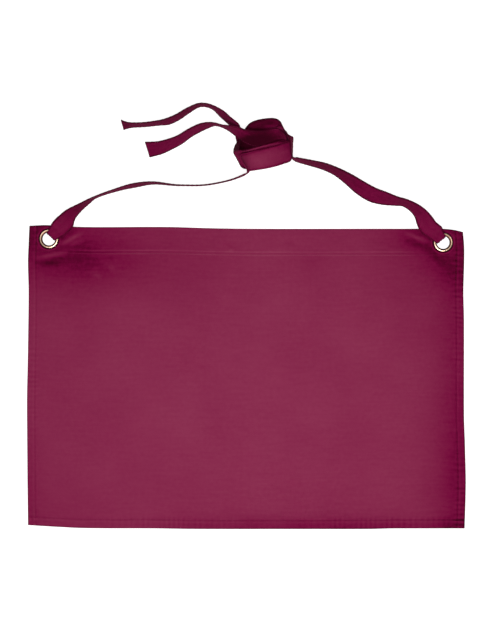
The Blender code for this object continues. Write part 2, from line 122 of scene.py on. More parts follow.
# Each hem has a sunk seam, a bead beside it and puckers along it.
SEAM_HALF, SEAM_DEPTH = 0.0009, 0.00042
BEAD_FROM_SEAM, BEAD_HALF, BEAD_RISE = 0.0024, 0.0014, 0.00012
PUCKER_PITCH, PUCKER_HALF, PUCKER_RISE = 0.0088, 0.0085, 0.00030
# The waistband's seam is a groove between two ridges, and is fainter past its ends.
GROOVE_DEPTH, SEAM_END = 0.00022, 0.262
RIDGE_FROM_SEAM, RIDGE_HALF, RIDGE_RISE = 0.0025, 0.0012, 0.00030
# Round each eyelet: where the rim has pressed the cloth up, its painted highlight ring and the painted shade
# at the rim.
PRESSED_RADIUS, HIGHLIGHT_RADIUS, SHADE_RADIUS = 0.0182, 0.0178, 0.0157
PRESSED_HALF, PRESSED_RISE = 0.0013, 0.00018
# What the panel is raised over at each eyelet and along each leg: the tape, the eyelet's lip and its
# washer, a gap apart.
EYELET_HOLE, EYELET_RIM, EYELET_METAL = 0.0206, 0.0310, 0.0007
EYELET_FROM_SIDE, EYELET_FROM_TOP = 0.0340, 0.0220
WASHER, TIE, GAP = 0.0008, 0.0015, 0.0003
LIP_BOTTOM = TIE + GAP
WASHER_BOTTOM = LIP_BOTTOM + EYELET_METAL + GAP
EYELET_LIFT = WASHER_BOTTOM + WASHER + GAP
CUT_CLEAR, LEG_HALF = 0.0009, 0.0190
LEFT_LEG_HEADING, RIGHT_LEG_HEADING = math.radians(46.0), math.radians(129.0)
# Share along the edge, and how far the edge bows out (+) or in (-) as a share of the depth.
TOP_BOW = [(0.00, 0.010), (0.04, 0.012), (0.12, 0.006), (0.32, 0.006), (0.42, 0.002), (0.52, 0.000),
           (0.75, 0.000), (0.89, 0.000), (0.95, 0.000), (0.98, -0.004), (1.00, -0.011)]
BOTTOM_BOW = [(0.00, -0.013), (0.06, -0.008), (0.13, -0.003), (0.30, -0.002), (0.40, 0.000),
              (0.62, 0.000), (0.78, 0.000), (0.84, -0.002), (1.00, -0.002)]
LEFT_BOW = [(0.00, 0.000), (0.18, 0.002), (0.42, 0.003), (0.60, 0.000), (0.78, -0.002), (0.88, 0.000),
            (0.95, -0.003), (1.00, -0.005)]
RIGHT_BOW = [(0.00, 0.002), (0.15, 0.006), (0.28, 0.003), (0.38, 0.000), (0.70, 0.000), (0.80, -0.002),
             (0.88, 0.000), (0.95, 0.000), (1.00, -0.004)]
FOLDS = [
    # x,     y,     degrees, half_long, half_wide, rise
    (-0.40, 0.405, 28.0, 0.050, 0.016, 0.55),
    (-0.44, 0.370, 10.0, 0.060, 0.018, 0.50),
    (0.395, 0.395, -38.0, 0.060, 0.018, 0.55),
    (-0.26, 0.250, 60.0, 0.130, 0.070, 0.45),
    (0.27, 0.230, -50.0, 0.140, 0.080, 0.50),
    (-0.34, -0.230, -20.0, 0.120, 0.060, 0.50),
    (0.33, -0.270, 35.0, 0.130, 0.070, 0.55),
    (-0.08, -0.360, 5.0, 0.160, 0.040, 0.35),
]
# Small creases pressed into the cloth, painted lighter where raised and darker where sunk as highlight and
# shade, in metres from the middle of the panel.
CREASES = [
    # from_x, from_y,  to_x,   to_y,   half_width, rise
    (-0.296, 0.2160, -0.264, 0.2340, 0.0034, 0.00105),
    (-0.282, 0.2150, -0.262, 0.2240, 0.0040, 0.00050),
    (-0.334, 0.1940, -0.290, 0.2030, 0.0034, 0.00085),
    (-0.338, 0.1850, -0.300, 0.1870, 0.0045, -0.00045),
    (0.258, 0.2330, 0.288, 0.2215, 0.0034, 0.00085),
    (0.252, 0.2230, 0.284, 0.2120, 0.0050, -0.00020),
    (0.284, 0.2100, 0.316, 0.1860, 0.0070, -0.00022),
    (-0.222, 0.1830, -0.210, 0.1760, 0.0040, 0.00040),
    (-0.246, 0.1700, -0.234, 0.1630, 0.0040, 0.00040),
    (-0.032, 0.2040, -0.020, 0.2060, 0.0030, 0.00040),
    (-0.034, 0.2160, -0.012, 0.2080, 0.0030, -0.00035),
    (0.066, 0.2190, 0.076, 0.2160, 0.0030, -0.00035),
]
# Where painted shade makes the panel darker (+) or painted light makes it lighter (-), in metres from the
# middle of the panel.
PAINTED_SHADE_SPOTS = [
    # x,     y,      half_x, half_y, depth
    (-0.250, 0.190, 0.130, 0.055, 0.40),
    (-0.330, 0.240, 0.090, 0.060, 0.30),
    (0.345, 0.100, 0.050, 0.500, 0.34),
    (0.330, 0.220, 0.090, 0.060, 0.34),
    (0.270, 0.225, 0.040, 0.020, 0.22),
    (0.120, -0.238, 0.260, 0.016, 0.42),
    (-0.350, -0.180, 0.020, 0.120, 0.18),
    (0.340, -0.150, 0.030, 0.120, 0.20),
    (0.105, 0.190, 0.030, 0.014, 0.10),
]
COLUMN_STEPS = [
    # from,  to,     step
    (0.0000, 0.0012, 0.0004),
    (0.0012, 0.0172, 0.0013),
    (0.0172, 0.0560, 0.0020),
    (0.0560, 0.6440, 0.0038),
    (0.6440, 0.6828, 0.0020),
    (0.6828, 0.6988, 0.0013),
    (0.6988, 0.7000, 0.0004),
]
ROW_STEPS = [
    # from,  to,     step
    (0.0000, 0.0012, 0.0004),
    (0.0012, 0.0192, 0.0014),
    (0.0192, 0.4320, 0.0038),
    (0.4320, 0.4520, 0.0009),
    (0.4520, 0.4808, 0.0020),
    (0.4808, 0.4820, 0.0004),
]


def flow(stops, values, where):
    """A smooth curve through the rows of values: cubic pieces, slopes from the neighbours."""
    stops = np.asarray(stops, float)
    values = np.asarray(values, float).reshape(len(stops), -1)
    steps = np.diff(stops)[:, None]
    slopes = np.diff(values, axis=0) / steps
    tangents = np.concatenate([slopes[:1], slopes])
    tangents[1:-1] = (values[2:] - values[:-2]) / (steps[:-1] + steps[1:])
    span = np.clip(np.searchsorted(stops, where, side="right") - 1, 0, len(steps) - 1)
    share = ((where - stops[span]) / steps[span, 0])[:, None]
    before, after, width = values[span], values[span + 1], steps[span]
    return ((1 + 2 * share) * (1 - share) ** 2 * before + share * (1 - share) ** 2 * width * tangents[span]
            + share ** 2 * (3 - 2 * share) * after + share ** 2 * (share - 1) * width * tangents[span + 1])


def heading(angle):
    """The unit direction at an angle from +X."""
    return np.array([math.cos(angle), math.sin(angle)])


def panel_outline(across, up):
    """The plan of the panel: a rectangle whose four edges bow by their tables, blended between."""
    bows = [flow([row[0] for row in table], [row[1] for row in table], share.ravel()).reshape(share.shape)
            for table, share in ((TOP_BOW, across), (BOTTOM_BOW, across), (LEFT_BOW, up), (RIGHT_BOW, up))]
    top, bottom, left, right = (PANEL_DEPTH * bow for bow in bows)
    x = PANEL_WIDTH * (across - 0.5) + right * across - left * (1 - across)
    y = PANEL_DEPTH * (up - 0.5) + top * up - bottom * (1 - up)
    return x, y


def eyelet_place(side):
    """The centre of the left (-1) or right (+1) eyelet, below the bowed top edge."""
    across = 0.5 + side * (0.5 - EYELET_FROM_SIDE / PANEL_WIDTH)
    x, y = panel_outline(np.array([across]), np.array([1.0]))
    return np.array([side * (PANEL_WIDTH / 2 - EYELET_FROM_SIDE), y[0] - EYELET_FROM_TOP])


def leg_distance(x, y, side, angle):
    """How far each point lies from the line of a tie's leg, from its eyelet to the waist edge."""
    centre, turn = eyelet_place(side), heading(angle)
    dx, dy = x - centre[0], y - centre[1]
    along = np.clip(dx * turn[0] + dy * turn[1], 0.0, EYELET_FROM_TOP / math.sin(angle))
    return np.hypot(dx - along * turn[0], dy - along * turn[1])


def soft_step(distance, middle, reach):
    """From 1 before the middle to 0 after it, smoothly over the reach."""
    return 1 / (1 + np.exp(np.minimum((distance - middle) / reach, 60.0)))


def panel_surface(across, up):
    """Places on the panel: plan, underside, top, and tone with its wear and painted shading.

    The underside is low folds and slow waves, raised flat round each eyelet. The top adds the cloth's
    thickness, doubled in the hems, rolled off at the edge, sunk along each seam and puckered beside it."""
    x, y = panel_outline(across, up)
    left, right = across * PANEL_WIDTH, (1 - across) * PANEL_WIDTH
    bottom, top = up * PANEL_DEPTH, (1 - up) * PANEL_DEPTH
    under = np.zeros_like(x)
    for centre_x, centre_y, degrees, half_long, half_wide, rise in FOLDS:
        turn = heading(math.radians(degrees))
        dx, dy = x - centre_x * PANEL_WIDTH, y - centre_y * PANEL_DEPTH
        along = (dx * turn[0] + dy * turn[1]) / (half_long * PANEL_WIDTH)
        aside = (dy * turn[0] - dx * turn[1]) / (half_wide * PANEL_WIDTH)
        under += rise * FOLD_RISE * (0.5 + 0.5 * np.cos(math.pi * np.minimum(1.0, np.hypot(along, aside))))
    slow = (np.sin(23.0 * x + 9.0 * y + 0.4) * np.sin(31.0 * y - 11.0 * x + 1.9)
            + 0.6 * np.sin(47.0 * x - 21.0 * y + 2.2) * np.sin(39.0 * y + 17.0 * x))
    under += SLOW_RISE * np.maximum(0.0, slow)
    clear = np.ones_like(x)
    for side, angle in ((-1, LEFT_LEG_HEADING), (1, RIGHT_LEG_HEADING)):
        away = leg_distance(x, y, side, angle)
        share = np.clip((away - EYELET_RIM / 2 - 2 * CLOTH) / (4 * EYELET_RIM / 3), 0.0, 1.0)
        rise = 1 - share ** 2 * (3 - 2 * share)
        under = under * (1 - rise) + EYELET_LIFT * rise
        clear *= 1 - soft_step(away, LEG_HALF, 0.0012)
    single = np.ones_like(x)
    for distance, hem_width in ((left, SIDE_HEM + SEWN_FROM_FOLD), (right, SIDE_HEM + SEWN_FROM_FOLD),
                                (bottom, BOTTOM_HEM + SEWN_FROM_FOLD), (top, WAISTBAND)):
        single *= 1 - soft_step(distance, hem_width, CLOTH_STEP)
    thick = CLOTH + (HEM_CLOTH - CLOTH) * (1 - single)
    edge = np.minimum(np.minimum(left, right), np.minimum(bottom, top))
    roll = np.sqrt(1 - (1 - np.minimum(1.0, edge / EDGE_ROLL)) ** 2)
    # The very edge of the cloth is painted darker as shade.
    relief, wear_and_painted_light = np.zeros_like(x), -0.06 * np.exp(-(edge / 0.0012) ** 2)
    for distance, hem_width, run, drift in ((left, SIDE_HEM, y, 0.7), (right, SIDE_HEM, y, 2.9),
                                            (bottom, BOTTOM_HEM, x, 5.1)):
        seam = np.exp(-((distance - hem_width) / SEAM_HALF) ** 2)
        bead = np.exp(-((distance - hem_width + BEAD_FROM_SEAM) / BEAD_HALF) ** 2)
        near = soft_step(np.abs(distance - 0.7 * hem_width), PUCKER_HALF, 0.0014)
        pucker = np.sin(2 * math.pi * run / PUCKER_PITCH + 1.8 * np.sin(41.0 * run + drift) + drift)
        strength = 0.55 + 0.45 * np.sin(19.0 * run + 2 * drift)
        relief += -SEAM_DEPTH * seam + BEAD_RISE * bead + PUCKER_RISE * near * pucker * strength
        # The seam is darker; the bead and the crests of the puckers are painted lighter as highlight, their
        # troughs darker as shade.
        wear_and_painted_light += -0.16 * seam + 0.08 * bead + 0.10 * near * pucker * strength
    below = top - WAISTBAND
    uneven = 0.75 + 0.25 * np.sin(17.0 * x + 0.8) * np.sin(43.0 * x)
    uneven *= 0.12 + 0.88 * soft_step(np.abs(x), SEAM_END, 0.012)
    ridges = sum(np.exp(-((below + aside) / RIDGE_HALF) ** 2)
                 for aside in (-RIDGE_FROM_SEAM, RIDGE_FROM_SEAM))
    groove = np.exp(-(below / SEAM_HALF) ** 2)
    relief += uneven * (RIDGE_RISE * ridges - GROOVE_DEPTH * groove)
    # The waistband seam's ridges are painted lighter as highlight and its groove darker as shade.
    wear_and_painted_light += uneven * (0.28 * ridges - 0.10 * groove)
    for from_x, from_y, to_x, to_y, half_width, rise in CREASES:
        way = np.array([to_x - from_x, to_y - from_y])
        along = np.clip(((x - from_x) * way[0] + (y - from_y) * way[1]) / (way @ way), 0.0, 1.0)
        away = np.hypot(x - from_x - along * way[0], y - from_y - along * way[1])
        crease = np.exp(-(away / half_width) ** 2) * np.sin(math.pi * (0.12 + 0.76 * along))
        relief += rise * crease
        # Raised creases are painted lighter as highlight and sunk ones darker as shade.
        wear_and_painted_light += 420.0 * rise * crease
    for side in (-1, 1):
        centre = eyelet_place(side)
        radius = np.hypot(x - centre[0], y - centre[1])
        relief += PRESSED_RISE * np.exp(-((radius - PRESSED_RADIUS) / PRESSED_HALF) ** 2)
        # A painted highlight ring on the pressed cloth and a ring of painted shade at the rim.
        wear_and_painted_light += 0.22 * np.exp(-((radius - HIGHLIGHT_RADIUS) / 0.0012) ** 2)
        wear_and_painted_light -= 0.45 * np.exp(-((radius - SHADE_RADIUS) / 0.0012) ** 2)
    upper = under + thick * (0.30 + 0.70 * roll) + np.where(relief > 0, relief * clear, relief) * roll
    # The tone is a painted pool of light and sheen in the panel's middle, fading to painted shade towards its
    # edges, with a line of painted shade at the very edge.
    tone = 0.66 - 0.11 * ((x / 0.35) ** 2 + ((y + 0.03) / 0.24) ** 2)
    for shade_x, shade_y, half_x, half_y, depth in PAINTED_SHADE_SPOTS:
        tone -= depth * np.exp(-((x - shade_x) / half_x) ** 2 - ((y - shade_y) / half_y) ** 2)
    tone = 0.06 + 0.94 * np.maximum(0.0, tone) - 0.15 * np.exp(-edge / 0.0016)
    return x, y, under + 0.18 * thick * (1 - roll), np.maximum(upper, under + 0.0004), tone + wear_and_painted_light


def graded(rows):
    """Grid lines at the steps that each stretch asks for."""
    counts = [int(round((stop - start) / step)) + 1 for start, stop, step in rows]
    lines = [np.linspace(start, stop, count)[:-1] for (start, stop, step), count in zip(rows, counts)]
    return np.concatenate(lines + [[rows[-1][1]]])


def closed_cloth(upper, under, keep):
    """Points and faces of two grids joined by a wall round each edge of the cells that are kept."""
    rows, columns = upper.shape[:2]
    count = rows * columns
    index = np.arange(count).reshape(rows, columns)
    cells = np.stack([index[:-1, :-1], index[:-1, 1:], index[1:, 1:], index[1:, :-1]], axis=-1)[keep]
    start, stop = cells.ravel(), np.roll(cells, -1, axis=1).ravel()
    rim = ~np.isin(start * count + stop, stop * count + start)
    start, stop = start[rim], stop[rim]
    walls = np.stack([start + count, stop + count, stop, start], axis=-1)
    faces = np.concatenate([cells, cells[:, ::-1] + count, walls])
    points = np.concatenate([upper.reshape(-1, 3), under.reshape(-1, 3)])
    used, faces = np.unique(faces, return_inverse=True)
    return points[used], faces.reshape(-1, 4), used % count


def piece(name, points, faces, look, flat=None, wear_and_painted_light=None):
    """One smooth mesh object, with its flat pattern as a UV map and its wear and painted shading as an
    attribute.
    """
    mesh = bpy.data.meshes.new(name)
    mesh.from_pydata(points.tolist(), [], faces.tolist())
    mesh.shade_smooth()
    if flat is not None:
        corners = np.empty(len(mesh.loops), dtype=np.int32)
        mesh.loops.foreach_get("vertex_index", corners)
        mesh.uv_layers.new(name="flat").data.foreach_set("uv", flat[corners].astype(np.float32).ravel())
    if wear_and_painted_light is not None:
        mesh.attributes.new("wear_and_painted_light", "FLOAT", "POINT").data.foreach_set("value", wear_and_painted_light.astype(np.float32))
    mesh.materials.append(look)
    made = bpy.data.objects.new(name, mesh)
    bpy.context.scene.collection.objects.link(made)
    return made


def grain(nodes, links, place, scale, detail=2.0):
    """Fine noise read at a place."""
    noise = nodes.new("ShaderNodeTexNoise")
    noise.inputs["Scale"].default_value = scale
    noise.inputs["Detail"].default_value = detail
    links.new(place, noise.inputs["Vector"])
    return noise.outputs["Fac"]


def raised(nodes, links, height, strength, distance, over=None):
    """A bump of a height, laid over another bump."""
    bump = nodes.new("ShaderNodeBump")
    bump.inputs["Strength"].default_value = strength
    bump.inputs["Distance"].default_value = distance
    links.new(height, bump.inputs["Height"])
    if over is not None:
        links.new(over, bump.inputs["Normal"])
    return bump.outputs["Normal"]


def twill(name, seam, deep, plain, sheen_lit, rib):
    """Cotton twill: steep ribs at the pitch of the rib, crossed by yarns, mottled dye, and its wear and
    painted shading.
    """
    look = bpy.data.materials.new(name)
    look.use_nodes = True
    nodes, links = look.node_tree.nodes, look.node_tree.links
    shader = nodes["Principled BSDF"]
    shader.inputs["Roughness"].default_value = 0.92
    shader.inputs["Specular IOR Level"].default_value = 0.015
    shader.inputs["Sheen Weight"].default_value = 0.02
    shader.inputs["Sheen Roughness"].default_value = 0.55
    shader.inputs["Sheen Tint"].default_value = (0.85, 0.45, 0.60, 1.0)
    flat = nodes.new("ShaderNodeUVMap")
    flat.uv_map = "flat"
    turned = nodes.new("ShaderNodeMapping")
    turned.inputs["Rotation"].default_value = (0.0, 0.0, math.radians(27.0))
    links.new(flat.outputs["UV"], turned.inputs["Vector"])
    bands = []
    for direction, pitch, bend in (("X", rib, 0.6), ("Y", 0.62 * rib, 1.0)):
        wave = nodes.new("ShaderNodeTexWave")
        wave.bands_direction = direction
        wave.inputs["Scale"].default_value = math.pi / 10 / pitch
        wave.inputs["Distortion"].default_value = bend
        wave.inputs["Detail"].default_value = 1.0
        wave.inputs["Detail Scale"].default_value = 0.6
        links.new(turned.outputs["Vector"], wave.inputs["Vector"])
        bands.append(wave.outputs["Fac"])
    ribs, yarns = bands
    lint = grain(nodes, links, flat.outputs["UV"], 1400.0, 3.0)
    patches = grain(nodes, links, flat.outputs["UV"], 9.0, 4.0)
    mottle = grain(nodes, links, flat.outputs["UV"], 160.0)
    worn_and_lit = nodes.new("ShaderNodeAttribute")
    worn_and_lit.attribute_name = "wear_and_painted_light"

    def weighted(terms, start):
        """The start plus each output times its weight."""
        total = None
        for output, weight in terms:
            step = nodes.new("ShaderNodeMath")
            step.operation = "MULTIPLY_ADD"
            links.new(output, step.inputs[0])
            step.inputs[1].default_value = weight
            if total is None:
                step.inputs[2].default_value = start
            else:
                links.new(total, step.inputs[2])
            total = step.outputs[0]
        return total

    slub_frame = nodes.new("ShaderNodeMapping")
    slub_frame.inputs["Scale"].default_value = (26.0, 210.0, 1.0)
    links.new(flat.outputs["UV"], slub_frame.inputs["Vector"])
    slubs = grain(nodes, links, slub_frame.outputs["Vector"], 1.0, 5.0)
    tone = weighted([(ribs, 0.12), (yarns, 0.05), (lint, 0.14), (patches, 0.26), (mottle, 0.16),
                     (slubs, 0.16), (worn_and_lit.outputs["Fac"], 0.75)], -0.32)
    shade = tuple(0.55 * part for part in seam)
    ramp = colour_ramp(nodes, [(0.0, shade), (0.09, seam), (0.22, deep), (0.60, plain), (1.0, sheen_lit)])
    links.new(tone, ramp.inputs["Fac"])
    links.new(ramp.outputs["Color"], shader.inputs["Base Color"])
    creasing = raised(nodes, links, grain(nodes, links, flat.outputs["UV"], 42.0, 4.0), 0.45, 0.0016)
    height = weighted([(ribs, 0.70), (yarns, 0.30), (lint, 0.50), (mottle, 0.60)], 0.0)
    links.new(raised(nodes, links, height, 0.55, 0.00022, creasing), shader.inputs["Normal"])
    return look


# The cloth's colours: seam and shade, the deep dye, and lighter colours that carry the key light's painted
# sheen.
SEAM_SHADE, DEEP_DYE = (0.058, 0.0008, 0.012), (0.130, 0.0012, 0.032)
PLAIN_DYE, SHEEN_LIT_DYE = (0.180, 0.0180, 0.056), (0.235, 0.0420, 0.084)
panel_twill = twill("burgundy_twill", SEAM_SHADE, DEEP_DYE, PLAIN_DYE, SHEEN_LIT_DYE, 0.0010)
columns, rows = graded(COLUMN_STEPS), graded(ROW_STEPS)
across, up = np.meshgrid(columns / PANEL_WIDTH, rows / PANEL_DEPTH)
x, y, under, upper, wear_and_painted_light = panel_surface(across, up)
cell_x = (x[:-1, :-1] + x[1:, 1:]) / 2
cell_y = (y[:-1, :-1] + y[1:, 1:]) / 2
keep = np.ones(cell_x.shape, bool)
cut_radius = EYELET_HOLE / 2 + EYELET_METAL + CUT_CLEAR
for side in (-1, 1):
    centre = eyelet_place(side)
    keep &= np.hypot(cell_x - centre[0], cell_y - centre[1]) > cut_radius
    radius = np.hypot(x - centre[0], y - centre[1])
    pushed = np.where(radius < cut_radius, cut_radius / np.maximum(radius, 1e-6), 1.0)
    x, y = centre[0] + (x - centre[0]) * pushed, centre[1] + (y - centre[1]) * pushed
points, faces, origin = closed_cloth(np.stack([x, y, upper], axis=-1), np.stack([x, y, under], axis=-1), keep)
flat = np.stack([across * PANEL_WIDTH, up * PANEL_DEPTH], axis=-1).reshape(-1, 2)[origin]
panel = piece("apron_cloth", points, faces, panel_twill, flat, wear_and_painted_light.ravel()[origin])
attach(panel, "root")
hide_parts("apron_panel")

# The sewing: lockstitch in matching polyester thread, one row in each hem and one just under the
# waistband seam. Each stitch is a short thread that dips into the cloth at both ends.
STITCH, STITCH_PITCH, THREAD = 0.0024, 0.0030, 0.00042
SEWING_END, BAND_SEWING = 0.0040, PANEL_DEPTH - WAISTBAND - 0.0026


def stitches(name, centres, ways, ups, tones, look):
    """Small humped threads: rings of six points along each stitch, thin and low at both ends."""
    along = np.array([-0.5, -0.36, 0.0, 0.36, 0.5])
    thick = np.array([0.25, 0.85, 1.0, 0.85, 0.25]) * THREAD / 2
    hump = THREAD * (0.45 - 2.2 * along ** 2)
    turn = np.linspace(0, 2 * math.pi, 6, endpoint=False)
    sides = np.cross(ups, ways)
    ring = np.stack([np.repeat(along * STITCH, 6), np.outer(thick, np.cos(turn)).ravel(),
                     (np.outer(thick, np.sin(turn)) + hump[:, None]).ravel()], axis=-1)
    axes = np.stack([ways, sides, ups], axis=1)
    points = centres[:, None] + np.einsum("pk,nkd->npd", ring, axes)
    index = np.arange(30).reshape(5, 6)
    quads = np.stack([index[:-1], np.roll(index[:-1], -1, axis=1), np.roll(index[1:], -1, axis=1), index[1:]],
                     axis=-1).reshape(-1, 4)
    caps = np.array([[0, 5, 4, 3], [0, 3, 2, 1], [24, 25, 26, 27], [24, 27, 28, 29]])
    local = np.concatenate([quads, caps])
    faces = (local[None] + 30 * np.arange(len(centres))[:, None, None]).reshape(-1, 4)
    made = piece(name, points.reshape(-1, 3), faces, look, wear_and_painted_light=np.repeat(tones, 30))
    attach(made, "root")
    return made


def thread_look(name, seam, deep, plain, sheen_lit):
    """Polyester thread in the cloth's tone round it, painted shading included, darkened by the fine bands of
    its twist.
    """
    look = bpy.data.materials.new(name)
    look.use_nodes = True
    nodes, links = look.node_tree.nodes, look.node_tree.links
    shader = nodes["Principled BSDF"]
    shader.inputs["Roughness"].default_value = 0.60
    shader.inputs["Specular IOR Level"].default_value = 0.12
    place = nodes.new("ShaderNodeTexCoord")
    twist = nodes.new("ShaderNodeTexWave")
    twist.bands_direction = "DIAGONAL"
    twist.inputs["Scale"].default_value = 900.0
    links.new(place.outputs["Object"], twist.inputs["Vector"])
    worn_and_lit = nodes.new("ShaderNodeAttribute")
    worn_and_lit.attribute_name = "wear_and_painted_light"
    tone = nodes.new("ShaderNodeMath")
    tone.operation = "MULTIPLY_ADD"
    links.new(twist.outputs["Fac"], tone.inputs[0])
    tone.inputs[1].default_value = 0.22
    links.new(worn_and_lit.outputs["Fac"], tone.inputs[2])
    ramp = colour_ramp(nodes, [(0.0, seam), (0.22, deep), (0.60, plain), (1.0, sheen_lit)])
    links.new(tone.outputs[0], ramp.inputs["Fac"])
    links.new(ramp.outputs["Color"], shader.inputs["Base Color"])
    return look


def unit(vectors):
    """Each vector divided by its length."""
    return vectors / np.linalg.norm(vectors, axis=-1, keepdims=True)


thread = thread_look("burgundy_thread", SEAM_SHADE, DEEP_DYE, PLAIN_DYE, SHEEN_LIT_DYE)
rows_of_stitches = []
far_x, far_y = PANEL_WIDTH - SEWING_END, PANEL_DEPTH - SEWING_END
for start, stop in (((SIDE_HEM, SEWING_END), (SIDE_HEM, far_y)),
                    ((PANEL_WIDTH - SIDE_HEM, SEWING_END), (PANEL_WIDTH - SIDE_HEM, far_y)),
                    ((SEWING_END, BOTTOM_HEM), (far_x, BOTTOM_HEM)),
                    ((SEWING_END, BAND_SEWING), (far_x, BAND_SEWING))):
    start, stop = np.array(start), np.array(stop)
    count = int(np.linalg.norm(stop - start) / STITCH_PITCH)
    share = np.linspace(0, 1, count + 1)[:, None]
    line = start * (1 - share) + stop * share
    x, y, low, high, worn_and_lit = panel_surface(line[:, 0] / PANEL_WIDTH, line[:, 1] / PANEL_DEPTH)
    corners = np.stack([x, y, high], axis=-1)
    way = np.diff(corners, axis=0)
    rows_of_stitches.append(((corners[1:] + corners[:-1]) / 2, unit(way), worn_and_lit[1:]))
centres, ways, tones = (np.concatenate(parts) for parts in zip(*rows_of_stitches))
sides = np.stack([-ways[:, 1], ways[:, 0], 0 * ways[:, 0]], axis=-1)
panel_sewing = stitches("apron_sewing", centres, ways, np.cross(ways, sides), 0.80 * tones - 0.05, thread)

# The eyelets: pressed brass, a rolled rim over the face of the cloth and a barrel whose lip is curled
# out under a flat brass washer on the back.
BRASS, BRASS_DULL, TARNISH_AND_SHADE = (0.66, 0.47, 0.33), (0.27, 0.15, 0.080), (0.055, 0.022, 0.016)
# The rim is polished at its crest; down its sides the brass is darkened with tarnish and painted shade.
POLISHED_RADIUS, POLISHED_HALF = 0.0137, 0.00155
RIM_RISE, LIP_REACH, EASED = 0.0022, 0.0016, 0.0002
RIM_BOTTOM = EYELET_LIFT + HEM_CLOTH + GAP
RING_SIDES, SHARP_DEGREES = 96, 42


def ring(name, profile, centre, look, node):
    """A closed profile of radius and height turned about the upright, tarnished and painted with shade down
    its sides.
    """
    profile = np.array(profile)
    angles = np.linspace(0, 2 * math.pi, RING_SIDES, endpoint=False)[:, None]
    points = np.stack([centre[0] + profile[None, :, 0] * np.cos(angles),
                       centre[1] + profile[None, :, 0] * np.sin(angles),
                       profile[None, :, 1] + 0 * angles], axis=-1)
    index = np.arange(points.shape[0] * points.shape[1]).reshape(points.shape[:2])
    right, after = np.roll(index, -1, axis=0), np.roll(index, -1, axis=1)
    faces = np.stack([index, after, np.roll(right, -1, axis=1), right], axis=-1).reshape(-1, 4)
    crest = 1.05 - np.abs(profile[:, 0] - POLISHED_RADIUS) / POLISHED_HALF
    crest = np.maximum(0.0, crest) * (profile[:, 1] > RIM_BOTTOM + 0.3 * RIM_RISE)
    made = piece(name, points.reshape(-1, 3), faces, look, wear_and_painted_light=np.tile(crest, RING_SIDES))
    made.data.set_sharp_from_angle(angle=math.radians(SHARP_DEGREES))
    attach(made, "root")
    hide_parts(node)
    return made


def brass_look(name, bright, dull, tarnish_and_shade):
    """Polished brass, with tarnish and painted shade down its sides, tarnish in patches and fine rubbed
    scratches round it.
    """
    look = bpy.data.materials.new(name)
    look.use_nodes = True
    nodes, links = look.node_tree.nodes, look.node_tree.links
    shader = nodes["Principled BSDF"]
    shader.inputs["Metallic"].default_value = 1.0
    place = nodes.new("ShaderNodeTexCoord")
    patches = grain(nodes, links, place.outputs["Object"], 260.0, 4.0)
    scratches = grain(nodes, links, place.outputs["Object"], 2600.0)
    worn_and_lit = nodes.new("ShaderNodeAttribute")
    worn_and_lit.attribute_name = "wear_and_painted_light"
    blend = nodes.new("ShaderNodeMath")
    blend.operation = "MULTIPLY_ADD"
    links.new(patches, blend.inputs[0])
    blend.inputs[1].default_value = 0.35
    links.new(worn_and_lit.outputs["Fac"], blend.inputs[2])
    ramp = colour_ramp(nodes, [(0.44, tarnish_and_shade), (0.68, dull), (0.90, bright)])
    links.new(blend.outputs[0], ramp.inputs["Fac"])
    links.new(ramp.outputs["Color"], shader.inputs["Base Color"])
    rough = nodes.new("ShaderNodeMapRange")
    rough.inputs["To Min"].default_value = 0.16
    rough.inputs["To Max"].default_value = 0.40
    links.new(scratches, rough.inputs["Value"])
    links.new(rough.outputs["Result"], shader.inputs["Roughness"])
    links.new(raised(nodes, links, scratches, 0.10, 0.00005), shader.inputs["Normal"])
    return look


brass = brass_look("polished_brass", BRASS, BRASS_DULL, TARNISH_AND_SHADE)
hole, rim = EYELET_HOLE / 2, EYELET_RIM / 2
barrel = hole + EYELET_METAL
crown = np.linspace(0, math.pi, 19)
rim_middle, rim_half = (hole + rim) / 2, (rim - hole) / 2
rim_roll = [(rim_middle - rim_half * math.cos(a), RIM_BOTTOM + RIM_RISE * (0.18 + 0.82 * math.sin(a)))
            for a in crown]
rim_under = [(rim - EASED, RIM_BOTTOM + 0.0001), (rim - 0.0007, RIM_BOTTOM), (barrel + 0.0004, RIM_BOTTOM),
             (barrel, RIM_BOTTOM - 0.0004)]
lip_end, lip_top = barrel + LIP_REACH, LIP_BOTTOM + EYELET_METAL
lip = [(barrel, lip_top + 0.0003), (barrel + 0.0003, lip_top), (lip_end - EASED, lip_top),
       (lip_end, lip_top - 0.3 * EYELET_METAL), (lip_end, LIP_BOTTOM + 0.3 * EYELET_METAL),
       (lip_end - EASED, LIP_BOTTOM), (hole + 0.0004, LIP_BOTTOM), (hole + 0.0001, LIP_BOTTOM + 0.0001),
       (hole, LIP_BOTTOM + 0.0004)]
washer_hole, washer_top = barrel + GAP, WASHER_BOTTOM + WASHER
washer = [(washer_hole, WASHER_BOTTOM + EASED), (washer_hole, washer_top - EASED),
          (washer_hole + EASED, washer_top), (rim - EASED, washer_top), (rim, washer_top - EASED),
          (rim, WASHER_BOTTOM + EASED), (rim - EASED, WASHER_BOTTOM), (washer_hole + EASED, WASHER_BOTTOM)]
for word, side in (("left", -1), ("right", 1)):
    centre = eyelet_place(side)
    ring("eyelet_rim_" + word, rim_roll + rim_under + lip, centre, brass, "eyelet_" + word)
    ring("eyelet_back_" + word, washer, centre, brass, "washer_" + word)

